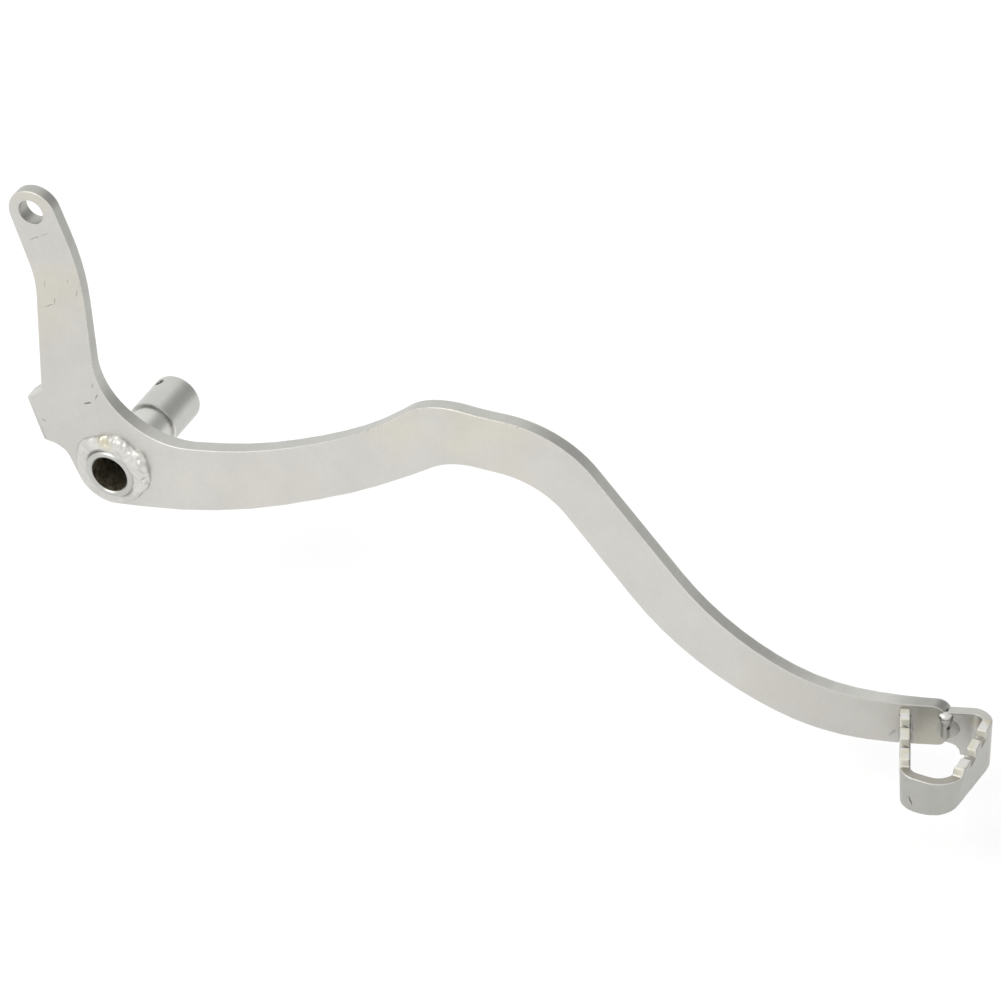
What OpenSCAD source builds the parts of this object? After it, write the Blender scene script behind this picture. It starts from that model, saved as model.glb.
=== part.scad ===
// Rear brake pedal for a motorbike, a welded steel lever.
// X points forward to the foot tread, Y points inward to the frame, Z is up.
// The origin is on the pivot axis, in the middle of the plate's thickness.

/* [Lever plate] */
// Thickness of the lever plate
plate_t = 5; // [4:0.5:6]
// Width of the short arm above the pivot
short_arm_w = 15.6; // [13:0.1:18]
// Distance from the pivot back to the rear edge of the short arm
short_arm_back = 24.1; // [21:0.1:26]
// Height of the bend in the short arm above the pivot
short_arm_bend_z = 65; // [58:0.5:70]
// Size of the round boss of plate around the pivot
boss_r = 14; // [13.4:0.2:16]
// Distance from the pivot forward to the first hump corner
hump_x = 111; // [100:1:118]
// Length of the hump between its two corners
hump_l = 40; // [34:1:48]
// Height of the hump above the pivot
hump_z = 67; // [58:1:74]
// Depth of the plate at the hump
hump_depth = 19.5; // [16:0.5:24]
// Distance from the pivot forward to the foot of the long slope
landing_x = 214; // [205:1:222]
// Height of the plate's upper edge at the tread, below the pivot
landing_z = -15.5; // [-22:0.5:-8]
// Distance from the pivot forward to the end of the plate
plate_end_x = 265.5; // [258:0.5:274]
// Depth of the plate at its end
plate_end_depth = 15; // [12:0.5:18]

/* [Plate bends] */
// Distance from the pivot to the first bend, which turns the plate outward
bend_1_x = 71; // [60:1:80]
// Angle of the plate after the first bend, outward
bend_1_deg = 12; // [6:1:16]
// Distance from the pivot to the second bend, under the hump
bend_2_x = 117; // [108:1:126]
// Angle of the plate after the second bend, inward
bend_2_deg = 10; // [5:1:14]
// Distance from the end of the plate back to the last bend, at the foot of the slope
bend_3_back = 35.5; // [30:0.5:44]
// Angle of the plate at the tread, inward
bend_3_deg = 21; // [14:1:26]

/* [Brake rod eye] */
// Distance from the pivot back to the rod hole
rod_back = 24.5; // [22:0.5:28]
// Height of the rod hole above the pivot
rod_z = 87.8; // [84:0.1:96]
// Diameter of the rod hole
rod_hole_d = 8.2; // [6:0.1:9]
// Radius of the rounded eye around the rod hole
rod_eye_r = 7.9; // [7:0.1:9.5]
// How much the top of the eye is flattened
rod_eye_flat = 0.6; // [0:0.1:1.5]
// Lean of the eye, backward from upright
rod_eye_lean = 19.5; // [12:0.5:26]

/* [Stop lug] */
// How far the lug stands out behind the short arm
lug_out = 5.9; // [4:0.1:9]
// Height of the lug's tip above the pivot
lug_tip_z = 17.5; // [16:0.5:20]
// Height of the lug's lower corner above the pivot
lug_low_z = 4; // [3:0.5:6]
// Width of the ground bevel on the lug
lug_bevel = 2.2; // [1:0.1:3]
// Angle of the ground bevel from the plate's face
lug_bevel_deg = 30; // [20:1:40]

/* [Pivot tube] */
// Outer diameter of the tube's head and of its sleeve
tube_d = 16; // [14.5:0.5:19]
// Diameter of the pivot bore
bore_d = 12; // [9:0.5:13]
// Diameter of the relieved length between the head and the sleeve
waist_d = 14; // [13.5:0.1:14.4]
// How far the tube stands proud of the plate's outer face
tube_proud = 3; // [2:0.25:5]
// Overall length of the tube
tube_l = 45; // [38:0.5:60]
// Length of the sleeve at the inner end
sleeve_l = 17; // [12:0.5:22]
// Length of the full head behind the plate
head_back = 3; // [2.5:0.25:5]
// Radius of the rounded edge at the sleeve's inner end
sleeve_edge_r = 1.4; // [0.6:0.1:1.5]
// Size of the chamfers at the tube's outer end and in its bore
tube_chamfer = 0.5; // [0.2:0.1:0.7]
// Diameter of the cross hole in the sleeve
cross_hole_d = 3; // [2:0.1:4]
// Distance of the cross hole from the sleeve's inner end
cross_hole_in = 4.3; // [3.8:0.1:6]
// Angle of the cross hole around the tube, from forward to up
cross_hole_deg = 122; // [0:1:359]

/* [Foot tread] */
// Thickness of the folded tread strip
strip_t = 3.1; // [2.6:0.1:3.8]
// Height of the folded tread strip at its nose
strip_h = 15.2; // [13:0.1:18]
// How much lower the strip reaches at its welded end than at its nose
strip_deepen = 1.7; // [0.4:0.1:3]
// Drop of the tooth tops below the plate's upper edge
strip_drop = 1.4; // [0.5:0.1:3]
// Drop of the strip's welded end below the tooth tops
wall_drop = 1; // [0.2:0.1:2]
// Distance from the rear leg's root to the end of the plate
leg_root_back = 11.4; // [10:0.1:13]
// Length of the rear leg, from the plate to the nose corner
leg_l = 26.3; // [25:0.1:32]
// Turn of the rear leg, forward from square to the plate
leg_turn = 1.8; // [0:0.1:4]
// How far the front leg stands forward of the plate's end
front_leg_x = 12.3; // [11:0.1:15]
// Turn of the front leg's teeth, forward from straight outward
front_leg_turn = 3.8; // [0:0.1:5]
// How far the rear leg's lower edge stands forward of its teeth
rear_twist = 0.8; // [0:0.1:2]
// How far the nose's lower front corner stands back from the teeth
front_twist = 3.4; // [0:0.1:3.6]
// How far the lower corner at the welded end stands forward of its top
corner_twist = 0.6; // [0:0.1:1.5]
// Bend radius at the rear corner of the nose, on the strip's middle
nose_rear_r = 5; // [3:0.5:6]
// Bend radius at the front corner of the nose, on the strip's middle
nose_front_r = 7.5; // [5:0.5:8.5]
// Bend radius at the front inner corner, on the strip's middle
corner_r = 4.5; // [3:0.5:5]
// Number of teeth on each leg
teeth = 3; // [2:1:3]
// Distance from one tooth to the next on the rear leg
tooth_pitch = 9.2; // [8:0.1:9.4]
// Distance from one tooth to the next on the front leg
front_tooth_pitch = 9.6; // [8:0.1:9.8]
// Length of one tooth top
tooth_l = 5.2; // [4:0.1:6]
// Depth of the cuts between the teeth
tooth_depth = 3; // [2.2:0.1:4]
// Distance from the corner bend to the first tooth of the front leg
front_tooth_gap = 5.4; // [5:0.1:6]
// Radius of the round notch under the strip's welded end
notch_r = 4.2; // [2.5:0.1:5]

/* [Welds] */
// Width of the weld bead around the pivot tube
weld_w = 4.4; // [3:0.1:4.8]
// Height of the weld bead around the pivot tube
weld_h = 2.2; // [1.5:0.1:2.4]
// Number of ripples laid around the outer weld
weld_ripples = 7; // [5:1:9]
// Radius of one ripple in the outer weld
ripple_r = 3.2; // [2.6:0.1:3.4]
// Size of the weld beads at the tread
tread_weld = 2; // [1.2:0.1:2.6]

/* [Fit] */
// Clearance of the tube in the hole of the plate, on the radius
tube_clear = 0.05; // [0:0.01:0.2]

/* [Hidden] */
$fn = 96;

// Largest turn between two points of an arc, in degrees
arc_step = 4;
// A cut runs this far past what it cuts
past = 1;
// Half the reach of the blanks that are trimmed to shape
reach = 130;

tube_r = tube_d / 2;
face_out = -plate_t / 2;
face_in = plate_t / 2;
tube_out = face_out - tube_proud;
tube_in = tube_out + tube_l;

// The plate is drawn as a short arm and a long arm that meet at this distance forward
plate_split_x = 30;

// Middle line of the plate seen from above, as [x, y, bend radius]
bend_1_r = 124;
bend_2_r = 78;
bend_3_r = 125;
bend_3_x = plate_end_x - bend_3_back;
bend_2_y = -(bend_2_x - bend_1_x) * tan(bend_1_deg);
bend_3_y = bend_2_y + (bend_3_x - bend_2_x) * tan(bend_2_deg);
past_end = reach / 2;
run_out = bend_3_back + plate_t;
plate_path = [
    [-past_end, 0, 0],
    [bend_1_x, 0, bend_1_r],
    [bend_2_x, bend_2_y, bend_2_r],
    [bend_3_x, bend_3_y, bend_3_r],
    [bend_3_x + run_out, bend_3_y + run_out * tan(bend_3_deg), 0]
];

// Outer face of the plate past its last bend, at a distance x forward
function outer_face_y(x) =
    bend_3_y + (x - bend_3_x) * tan(bend_3_deg) - plate_t / 2 / cos(bend_3_deg);

// Corner of the eye, across and along its leaning axis
function eye_corner(across, along) = [
    -rod_back + across * cos(rod_eye_lean) - along * sin(rod_eye_lean),
    rod_z + across * sin(rod_eye_lean) + along * cos(rod_eye_lean),
    rod_eye_r
];
eye_top = rod_eye_r - rod_eye_flat;

// Rounding radii of the plate's outline, from the short arm round to its back
elbow_front_r = 80;
elbow_back_r = 33;
foot_r = 23;
saddle_r = 27;
rise_r = 146;
rise_low_r = 196;
hump_r = 26;
hump_end_r = 38;
hump_low_r = 22;
hump_low_end_r = 29;
slope_r = 92;
slope_low_r = 105;
end_top_r = 4.5;
end_low_r = 2;
boss_corner_r = 11.5;
lug_foot_r = 7;
lug_r = 2.2;

// Corners of the outline that aren't set by a value above
elbow_rise = 5.5;
foot_out = 3.7;
foot_z = 26.5;
rise = [69, 25.5];
rise_low = [56, -1.5];
hump_fall = 2;
hump_low_in = 6;
slope_low_in = 8.5;
boss_corner_in = 6;
boss_back = 3;
nudge = 0.5;

// Side outline of the plate, as [x, z, corner radius]
hump_end_x = hump_x + hump_l;
hump_low_z = hump_z - hump_depth;
landing_low_z = landing_z - plate_end_depth;
short_arm_front = short_arm_w - short_arm_back;
lug_low = [-short_arm_back, lug_low_z, lug_r];
lug_tip = [-short_arm_back - lug_out, lug_tip_z, lug_r];
lug_top = [-short_arm_back, lug_tip_z + lug_out, 0];
plate_outline = [
    eye_corner(-rod_eye_r, eye_top),
    eye_corner(rod_eye_r, eye_top),
    [short_arm_front, short_arm_bend_z + elbow_rise, elbow_front_r],
    [short_arm_front + foot_out, foot_z, foot_r],
    [boss_r + past, boss_r, saddle_r],
    [rise.x, rise.y, rise_r],
    [hump_x, hump_z + nudge, hump_r],
    [hump_end_x, hump_z - hump_fall + nudge, hump_end_r],
    [landing_x, landing_z + nudge, slope_r],
    [plate_end_x, landing_z - nudge, end_top_r],
    [plate_end_x, landing_low_z, end_low_r],
    [landing_x - slope_low_in, landing_low_z - nudge, slope_low_r],
    [hump_end_x - hump_low_in + past, hump_low_z - past, hump_low_end_r],
    [hump_x + hump_low_in + hump_fall, hump_low_z + past, hump_low_r],
    [rise_low.x, rise_low.y, rise_low_r],
    [boss_corner_in - boss_r, -boss_r - nudge, boss_corner_r],
    [-boss_r - boss_back, lug_low_z - nudge, lug_foot_r],
    lug_low,
    lug_tip,
    lug_top,
    [-short_arm_back, short_arm_bend_z - 3 * nudge, elbow_back_r]
];

// Folded strip seen from above, as [x, y, bend radius]
leg_deg = bend_3_deg + leg_turn;
leg_x = plate_end_x - leg_root_back;
leg_root = [leg_x, outer_face_y(leg_x)];
nose_y = leg_root.y - leg_l * cos(leg_deg);
wall_y = outer_face_y(plate_end_x) + strip_t / 2 / cos(bend_3_deg);
front_x = plate_end_x + front_leg_x;
front_y = wall_y + front_leg_x * tan(bend_3_deg);
strip_path = [
    [leg_root.x, leg_root.y, 0],
    [leg_root.x + leg_l * sin(leg_deg), nose_y, nose_rear_r],
    [front_x + (front_y - nose_y) * tan(front_leg_turn), nose_y, nose_front_r],
    [front_x, front_y, corner_r],
    [plate_end_x, wall_y, 0]
];
leg_run = [sin(leg_deg), -cos(leg_deg)];
// The strip's lower edge follows a path of its own, because the strip is twisted a little
leg_shift = rear_twist * [1, tan(bend_3_deg), 0];
leg_slide = leg_shift.y / cos(leg_deg) * [leg_run.x, leg_run.y, 0];
strip_low_path = [
    strip_path[0] + leg_shift,
    strip_path[1] + leg_shift + leg_slide,
    strip_path[2] + [-front_twist, 0, 0],
    strip_path[3] + [corner_twist, corner_twist * tan(bend_3_deg), 0],
    strip_path[4]
];
strip_steps = 16;
notch_rise = 0.3;
strip_top = landing_z - strip_drop;
strip_low = strip_top - strip_h;
tooth_floor = strip_top - tooth_depth;
teeth_l = (teeth - 1) * tooth_pitch + tooth_l;
front_teeth_l = (teeth - 1) * front_tooth_pitch + tooth_l;
front_run = [sin(front_leg_turn), -cos(front_leg_turn)];
front_teeth = [front_x, front_y] + front_tooth_gap * front_run;

// Where the beads at the tread run, up the plate's outer face
bead_top = strip_top - wall_drop - tread_weld;
bead_low = landing_low_z + tread_weld;

function heading(a, b) = atan2(b.y - a.y, b.x - a.x);

function wrapped(angle) = angle > 180 ? angle - 360 : angle < -180 ? angle + 360 : angle;

// Length that a corner's rounding takes from each of its two edges
function corner_run(a, p, b) = p[2] * tan(abs(wrapped(heading(p, b) - heading(a, p))) / 2);

// Share of its radius that a corner keeps, so that roundings fit on the edge to the next corner
edge_share = 0.98;
function kept_share(run, next_run, p, next) =
    run + next_run > 0 ? min(1, edge_share * norm([next.x - p.x, next.y - p.y]) / (run + next_run)) : 1;

// Points of one rounded corner p between a and b, as [x, y, heading]
function corner(a, p, b, share = 1, fixed_steps = 0) =
    let (
        r = p[2] * share,
        start_h = heading(a, p),
        turn = wrapped(heading(p, b) - start_h),
        side = turn > 0 ? 1 : -1,
        run = r * tan(abs(turn) / 2),
        cx = p.x - run * cos(start_h) - side * r * sin(start_h),
        cy = p.y - run * sin(start_h) + side * r * cos(start_h),
        steps = fixed_steps > 0 ? fixed_steps : ceil(abs(turn) / arc_step)
    )
    r == 0 ? [[p.x, p.y, start_h + turn / 2]] :
    [for (k = [0:steps])
        let (h = start_h + turn * k / steps)
        [cx + side * r * sin(h), cy - side * r * cos(h), h]];

// Closed outline with every corner rounded
function rounded(corners) =
    let (
        n = len(corners),
        runs = [for (i = [0:n - 1]) corner_run(corners[(i + n - 1) % n], corners[i], corners[(i + 1) % n])],
        shares = [for (i = [0:n - 1]) kept_share(runs[i], runs[(i + 1) % n], corners[i], corners[(i + 1) % n])]
    )
    [for (i = [0:n - 1])
        let (before = (i + n - 1) % n)
        each [for (q = corner(corners[before], corners[i], corners[(i + 1) % n], min(shares[before], shares[i])))
            [q.x, q.y]]];

// Points of an open path with its bends rounded and its ends cut at an angle,
// as [x, y, heading, half width stretch]
function path_points(path, start_cut, end_cut, fixed_steps) =
    let (
        last = len(path) - 1,
        start_h = heading(path[0], path[1]),
        end_h = heading(path[last - 1], path[last])
    )
    [
        [path[0].x, path[0].y, start_h + start_cut, 1 / cos(start_cut)],
        for (i = [1:last - 1])
            each [for (q = corner(path[i - 1], path[i], path[i + 1], 1, fixed_steps)) [q.x, q.y, q[2], 1]],
        [path[last].x, path[last].y, end_h + end_cut, 1 / cos(end_cut)]
    ];

// Outline of a band of thickness t along a path
function band(path, t, start_cut = 0, end_cut = 0, fixed_steps = 0) =
    let (
        mid = path_points(path, start_cut, end_cut, fixed_steps),
        n = len(mid)
    )
    [
        for (m = mid) [m.x, m.y] + t / 2 * m[3] * [-sin(m[2]), cos(m[2])],
        for (i = [n - 1:-1:0]) [mid[i].x, mid[i].y] - t / 2 * mid[i][3] * [-sin(mid[i][2]), cos(mid[i][2])]
    ];

// Lays a shape drawn in X and Z through the part, along Y
module through_y(from, to) {
    translate([0, to, 0])
        rotate([90, 0, 0])
            linear_extrude(to - from)
                children();
}

// Round bar or cutter on an axis along Y
module bar_y(r, from, to) {
    translate([0, from, 0])
        rotate([-90, 0, 0])
            cylinder(r = r, h = to - from);
}

// Wedge that grinds a bevel on the outer face, along the outline's edge from a to b
module edge_bevel(a, b) {
    slope = tan(lug_bevel_deg);
    translate([a.x, face_out, a.y])
        rotate([0, -heading(a, b), 0])
            rotate([90, 0, 90])
                linear_extrude(norm([b.x - a.x, b.y - a.y]))
                    polygon([
                        [-past, -lug_bevel - past / slope],
                        [(lug_bevel + past) * slope, past],
                        [-past, past]
                    ]);
}

// Part of the plate between two distances forward of the pivot
module plate_part(from_x, to_x) {
    intersection() {
        through_y(-reach, reach)
            polygon(rounded(plate_outline));
        translate([0, 0, -reach])
            linear_extrude(2 * reach)
                polygon(band(plate_path, plate_t));
        translate([from_x, -reach, -reach])
            cube([to_x - from_x, 2 * reach, 2 * reach]);
    }
}

module rod_arm() {
    color("lightgray")
        difference() {
            plate_part(-past_end, plate_split_x);
            bar_y(tube_r + tube_clear, face_out - past, face_in + past);
            translate([-rod_back, 0, rod_z])
                bar_y(rod_hole_d / 2, face_out - past, face_in + past);
            edge_bevel(lug_low, lug_tip);
            edge_bevel(lug_tip, lug_top);
        }
}

module lever_arm() {
    color("lightgray")
        plate_part(plate_split_x, plate_end_x + past);
}

// Half section of the pivot tube, radius across and length along the axis
module tube_section() {
    edge = [for (a = [0:15:90])
        [tube_r - sleeve_edge_r * (1 - cos(a)), tube_l - sleeve_edge_r * (1 - sin(a))]];
    head = tube_proud + plate_t + head_back;
    waist_r = waist_d / 2;
    step = tube_r - waist_r;
    bore_r = bore_d / 2;
    polygon(concat(
        [
            [bore_r + tube_chamfer, 0],
            [tube_r - tube_chamfer, 0],
            [tube_r, tube_chamfer],
            [tube_r, head],
            [waist_r, head + step],
            [waist_r, tube_l - sleeve_l],
            [tube_r - tube_chamfer / 2, tube_l - sleeve_l],
            [tube_r, tube_l - sleeve_l + tube_chamfer / 2]
        ],
        edge,
        [
            [bore_r + tube_chamfer, tube_l],
            [bore_r, tube_l - tube_chamfer],
            [bore_r, tube_chamfer]
        ]
    ));
}

module pivot_tube() {
    color("silver")
        difference() {
            translate([0, tube_out, 0])
                rotate([-90, 0, 0])
                    rotate_extrude()
                        tube_section();
            translate([0, tube_in - cross_hole_in, 0])
                rotate([0, 90 - cross_hole_deg, 0])
                    cylinder(d = cross_hole_d, h = tube_d);
        }
}

// Cuts between the teeth of a leg that starts at a point and runs at an angle to X
module tooth_cuts(start, run_deg, pitch) {
    translate([start.x, start.y, tooth_floor])
        rotate([0, 0, run_deg])
            for (i = [1:teeth - 1])
                translate([i * pitch - (pitch - tooth_l), -strip_t, 0])
                    cube([pitch - tooth_l, 2 * strip_t, tooth_depth + past]);
}

// Joins two bands of as many points, one above the other
module loft(low, high, low_z, high_z) {
    n = len(low);
    polyhedron(
        points = [
            for (q = low) [q.x, q.y, low_z],
            for (q = high) [q.x, q.y, high_z]
        ],
        faces = [
            for (i = [0:n / 2 - 2])
                let (across = n - 1 - i)
                each [
                    [across, across - 1, i + 1, i],
                    [n + i, n + i + 1, n + across - 1, n + across]
                ],
            for (i = [0:n - 1])
                let (next = (i + 1) % n)
                each [[i, next, n + next], [i, n + next, n + i]]
        ]
    );
}

// Takes the strip down over an area seen from above
module lowered(floor_z, area) {
    translate([0, 0, floor_z])
        linear_extrude(strip_h)
            polygon(area);
}

module tread_loop() {
    nose_from = leg_root + teeth_l * leg_run;
    front_to = front_teeth + front_teeth_l * front_run;
    leg_side = strip_t * [cos(leg_deg), sin(leg_deg)];
    side = 2 * strip_t;
    deepen_deg = atan(strip_deepen / (front_y - nose_y));
    color("gainsboro")
        difference() {
            loft(
                band(strip_low_path, strip_t, -leg_turn, -bend_3_deg, strip_steps),
                band(strip_path, strip_t, -leg_turn, -bend_3_deg, strip_steps),
                strip_low - strip_deepen - past,
                strip_top
            );
            // the lower edge falls towards the welded end
            translate([leg_x - strip_h, nose_y - side, strip_low])
                rotate([-deepen_deg, 0, 0])
                    translate([0, -strip_h, -2 * strip_h])
                        cube([4 * strip_h, 6 * strip_h, 2 * strip_h]);
            tooth_cuts(leg_root, leg_deg - 90, tooth_pitch);
            tooth_cuts(front_teeth, front_leg_turn - 90, front_tooth_pitch);
            // the nose lies lower than the teeth
            lowered(tooth_floor, [
                nose_from - leg_side,
                nose_from + leg_side,
                front_to - [side, 0],
                front_to + [side, 0],
                [front_to.x + side, nose_y - side],
                [leg_root.x, nose_y - side]
            ]);
            // so does the welded end, a little
            lowered(strip_top - wall_drop, [
                front_teeth - [side, 0],
                front_teeth + [side, 0],
                [front_x + side, front_y + side],
                [plate_end_x - past, front_y + side],
                [plate_end_x - past, wall_y - side]
            ]);
            // round notch under the welded end
            translate([plate_end_x, 0, strip_low - strip_deepen + notch_rise])
                bar_y(notch_r, wall_y - side, wall_y + side);
        }
}

// Fillet ring around the tube, standing on a face, height along Z
module weld_ring(w, h) {
    crown = 0.42;
    shoulder = 0.75;
    rotate_extrude()
        polygon([
            [tube_r, 0],
            [tube_r + w, 0],
            [tube_r + shoulder * w, crown * h],
            [tube_r + crown * w, shoulder * h],
            [tube_r, h]
        ]);
}

module pivot_weld_outer() {
    first_deg = 105;
    span_deg = 140;
    sink = 1.2;
    color("white")
        translate([0, face_out, 0])
            rotate([90, 0, 0])
                difference() {
                    union() {
                        weld_ring(weld_w, weld_h);
                        // ripples on the upper front side, where the bead is widest
                        for (i = [0:weld_ripples - 1])
                            rotate([0, 0, first_deg - span_deg * i / (weld_ripples - 1)])
                                translate([tube_r + weld_w / 2, 0, -sink])
                                    sphere(r = ripple_r, $fn = 32);
                    }
                    translate([0, 0, -past_end])
                        cylinder(r = tube_r, h = reach);
                    translate([-past_end, -past_end, -reach])
                        cube(reach);
                }
}

module pivot_weld_inner() {
    color("white")
        translate([0, face_in, 0])
            rotate([-90, 0, 0])
                weld_ring(weld_w, head_back - nudge);
}

module tread_end_weld() {
    seam = [plate_end_x, outer_face_y(plate_end_x), 0];
    seam_l = bead_top - bead_low - tread_weld / 2;
    wall_back_y = wall_y + strip_t / 2 / cos(bend_3_deg);
    back_y = seam.y + plate_t / cos(bend_3_deg);
    bead_r = 0.6 * tread_weld;
    // bead up the seam on the outer face, with a blob at its top
    color("white")
        difference() {
            translate(seam) {
                translate([0, 0, bead_top - seam_l])
                    cylinder(r = bead_r, h = seam_l);
                translate([0, 0, bead_top])
                    sphere(r = tread_weld, $fn = 32);
            }
            translate([seam.x, seam.y, -reach])
                rotate([0, 0, bend_3_deg])
                    translate([-past_end, 0, 0])
                        cube(reach);
        }
    // fillet in the step behind the seam
    color("white")
        translate([0, 0, bead_top - seam_l])
            linear_extrude(seam_l)
                polygon([
                    [plate_end_x, wall_back_y],
                    [plate_end_x + tread_weld, wall_back_y + tread_weld * tan(bend_3_deg)],
                    [plate_end_x, back_y]
                ]);
}

module tread_leg_weld() {
    leg_bead = 0.8 * tread_weld;
    half = strip_t / 2 / cos(leg_turn);
    strip_fall = strip_h + strip_deepen + past;
    lean = atan(rear_twist / cos(bend_3_deg) / strip_fall);
    color("white")
        translate([leg_root.x, leg_root.y, strip_top])
            rotate([0, 0, bend_3_deg])
                // the fillets lean with the twisted strip
                rotate([0, -lean, 0])
                    for (side = [-1, 1])
                        translate([0, 0, bead_low - strip_top])
                            linear_extrude(bead_top - bead_low)
                                polygon([
                                    [side * half, 0],
                                    [side * (half + leg_bead), 0],
                                    [side * half + leg_bead * tan(leg_turn), -leg_bead]
                                ]);
}

rod_arm();
lever_arm();
pivot_tube();
tread_loop();
pivot_weld_outer();
pivot_weld_inner();
tread_end_weld();
tread_leg_weld();
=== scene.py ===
import math
import bpy
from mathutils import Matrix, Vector, noise


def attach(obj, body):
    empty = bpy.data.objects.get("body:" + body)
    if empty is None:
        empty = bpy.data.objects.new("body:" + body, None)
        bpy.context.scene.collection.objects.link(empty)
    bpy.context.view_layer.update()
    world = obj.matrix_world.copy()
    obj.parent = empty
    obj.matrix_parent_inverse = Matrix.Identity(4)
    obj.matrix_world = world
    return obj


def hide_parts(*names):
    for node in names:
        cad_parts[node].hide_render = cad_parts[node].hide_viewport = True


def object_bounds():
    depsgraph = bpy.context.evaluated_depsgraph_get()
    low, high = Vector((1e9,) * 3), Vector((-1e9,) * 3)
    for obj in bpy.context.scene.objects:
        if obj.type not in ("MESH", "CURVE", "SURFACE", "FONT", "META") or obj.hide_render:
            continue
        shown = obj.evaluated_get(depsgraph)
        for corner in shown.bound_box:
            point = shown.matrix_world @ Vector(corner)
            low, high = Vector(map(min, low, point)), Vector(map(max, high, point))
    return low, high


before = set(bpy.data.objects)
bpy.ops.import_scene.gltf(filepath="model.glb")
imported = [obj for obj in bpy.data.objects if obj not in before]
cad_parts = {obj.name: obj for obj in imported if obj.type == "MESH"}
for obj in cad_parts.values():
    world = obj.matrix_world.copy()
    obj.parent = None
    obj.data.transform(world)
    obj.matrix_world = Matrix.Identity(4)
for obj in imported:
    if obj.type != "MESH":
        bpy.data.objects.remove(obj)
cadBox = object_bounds()
print("frame loaded")

mm = 0.001   # sizes below are in millimetres, angles in degrees

shared = {
    "doubles": 0.002,      # closer vertices of a CAD copy are merged
    "slivers": 0.01,       # shorter edges of a CAD copy are taken out
    "flat": 0.5,           # faces that turn less than this are merged
    "smooth": 40,          # edges that turn more than this stay sharp
    "melted": 80,          # the same on a melted piece
    "wearStep": 0.5,       # how far one round of wear moves a vertex toward its neighbours
    "normalWeight": 60,
}


# small helpers for working on one piece at a time

def pickNothing():
    if bpy.context.mode != "OBJECT":
        bpy.ops.object.mode_set(mode="OBJECT")
    bpy.ops.object.select_all(action="DESELECT")


def pickPiece(piece):
    pickNothing()
    piece.select_set(True)
    bpy.context.view_layer.objects.active = piece


def editAll(piece):
    pickPiece(piece)
    bpy.ops.object.mode_set(mode="EDIT")
    bpy.ops.mesh.select_mode(type="VERT")
    bpy.ops.mesh.select_all(action="SELECT")


def editFaces(piece, wanted):
    editAll(piece)
    bpy.ops.mesh.select_mode(type="FACE")
    bpy.ops.mesh.select_all(action="DESELECT")
    bpy.ops.object.mode_set(mode="OBJECT")
    for face in piece.data.polygons:
        face.select = wanted(face.center / mm, face.normal)
    bpy.ops.object.mode_set(mode="EDIT")


def useModifier(piece, kind, **settings):
    pickPiece(piece)
    modifier = piece.modifiers.new(kind.title(), kind)
    for setting, value in settings.items():
        setattr(modifier, setting, value)
    bpy.ops.object.modifier_apply(modifier=modifier.name)


def copyOfNodes(name, *nodes):
    pieces = []
    for node in nodes:
        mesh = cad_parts[node].data.copy()
        mesh.materials.clear()
        copy = bpy.data.objects.new(name, mesh)
        bpy.context.scene.collection.objects.link(copy)
        pieces.append(copy)
    piece = pieces[0]
    if len(pieces) > 1:
        joinPieces(*pieces)
    pickPiece(piece)
    piece.name = piece.data.name = name
    if piece.data.has_custom_normals:
        bpy.ops.mesh.customdata_custom_splitnormals_clear()
    editAll(piece)
    bpy.ops.mesh.remove_doubles(threshold=shared["doubles"] * mm)
    bpy.ops.mesh.dissolve_degenerate(threshold=shared["slivers"] * mm)
    return piece


def joinPieces(first, *others):
    pickPiece(first)
    for other in others:
        other.select_set(True)
    bpy.ops.object.join()


def meltPiece(piece, grain, rounds):
    # one closed skin with faces of that size, its edges worn round
    useModifier(piece, "REMESH", mode="VOXEL", voxel_size=grain * mm, use_smooth_shade=True)
    useModifier(piece, "SMOOTH", factor=shared["wearStep"], iterations=rounds)
    smoothFaces(piece, shared["melted"])


def mergeFlats(piece, degrees):
    editAll(piece)
    bpy.ops.mesh.dissolve_limited(angle_limit=math.radians(degrees))
    pickPiece(piece)


def smoothFaces(piece, degrees):
    pickPiece(piece)
    bpy.ops.object.shade_smooth_by_angle(angle=math.radians(degrees), keep_sharp_edges=False)


def evenShading(piece):
    smoothFaces(piece, shared["smooth"])
    useModifier(
        piece, "WEIGHTED_NORMAL",
        mode="FACE_AREA_WITH_ANGLE", keep_sharp=True, weight=shared["normalWeight"],
    )


def roundEdges(piece, widthOf, most, segments):
    # widthOf gives the rounding of an edge from its middle and its two normals
    mesh = piece.data
    sides = {}
    for face in mesh.polygons:
        for key in face.edge_keys:
            sides.setdefault(key, []).append(face.normal)
    weights = mesh.attributes.new("bevel_weight_edge", "FLOAT", "EDGE")
    for edge in mesh.edges:
        normals = sides.get(edge.key, [])
        if len(normals) == 2:
            a, b = (mesh.vertices[i].co for i in edge.vertices)
            weights.data[edge.index].value = widthOf((a + b) / 2 / mm, *normals) / most
    useModifier(
        piece, "BEVEL",
        width=most * mm, segments=segments, limit_method="WEIGHT", loop_slide=False,
        offset_type="OFFSET", use_clamp_overlap=False,
    )


def blendValue(stops, at):
    # value at a place, eased between stops of (place, value)
    if at <= stops[0][0]:
        return stops[0][1]
    for (a, low), (b, high) in zip(stops, stops[1:]):
        if at <= b:
            t = (at - a) / (b - a)
            return low + (high - low) * t * t * (3 - 2 * t)
    return stops[-1][1]


# shader maths: a Wire is a node's output, and an expression on wires adds Math nodes

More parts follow.
